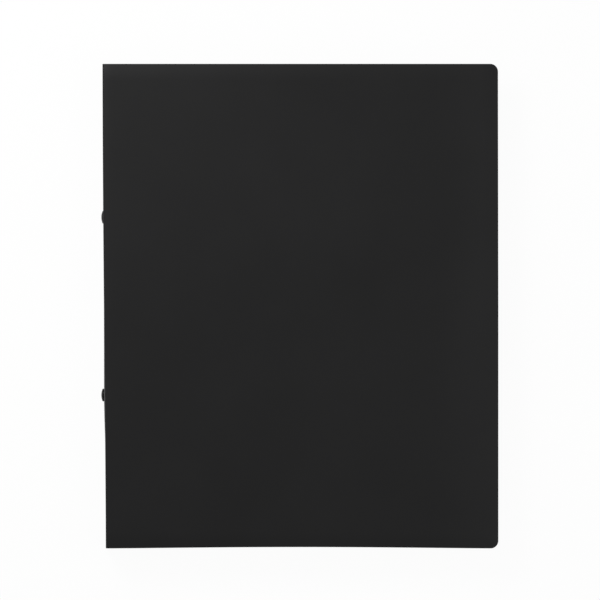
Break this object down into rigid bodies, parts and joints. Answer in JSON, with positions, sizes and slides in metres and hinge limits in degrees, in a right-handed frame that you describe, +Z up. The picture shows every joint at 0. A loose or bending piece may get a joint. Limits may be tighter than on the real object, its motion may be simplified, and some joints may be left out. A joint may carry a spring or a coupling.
{
  "type": "ring binder",
  "caption": "Slim ring binder for A4 paper, a creased plastic sheet with hinged covers round a riveted steel ring mechanism on the spine.",
  "frame": {"origin": "centre of the base, under the middle of the box round the closed binder with its rivet heads, at the outer face of the back cover", "axes": "+X from the spine to the fore-edge, +Y from the tail to the head, +Z up from the back cover to the front cover"},
  "size_m": [0.2586, 0.315, 0.025],
  "materials": {
    "black_sheet": "matte black polypropylene sheet with a fine leather-like grain",
    "nickel_plate": "bright nickel plate on steel",
    "rivet_black": "black lacquered steel"
  },
  "bodies": {
    "back_cover": {"back_cover": "black_sheet"},
    "spine": {"spine": "black_sheet", "ring_housing": "nickel_plate", "rivet_upper": "rivet_black", "rivet_lower": "rivet_black"},
    "front_cover": {"front_cover": "black_sheet"},
    "back_carrier": {"carrier_plate_back": "nickel_plate", "half_ring_upper_back": "nickel_plate", "half_ring_lower_back": "nickel_plate"},
    "front_carrier": {"carrier_plate_front": "nickel_plate", "half_ring_upper_front": "nickel_plate", "half_ring_lower_front": "nickel_plate"}
  },
  "joints": [
    {"name": "spine_fold", "type": "hinge", "parent": "back_cover", "child": "spine", "pos_m": [-0.1268, 0, 0.0005], "axis": [0, -1, 0], "range_deg": [0, 79.8]},
    {"name": "front_cover_fold", "type": "hinge", "parent": "spine", "child": "front_cover", "pos_m": [-0.1268, 0, 0.0245], "axis": [0, -1, 0], "range_deg": [0, 101.1]},
    {"name": "front_ring_swing", "type": "hinge", "parent": "spine", "child": "front_carrier", "pos_m": [-0.1251, 0, 0.01855], "axis": [0, -1, 0], "range_deg": [0, 6]},
    {"name": "back_ring_swing", "type": "hinge", "parent": "spine", "child": "back_carrier", "pos_m": [-0.1251, 0, 0.00645], "axis": [0, 1, 0], "range_deg": [0, 6]}
  ],
  "couplings": [
    {"joint": "back_ring_swing", "follows": "front_ring_swing", "ratio": 1}
  ]
}
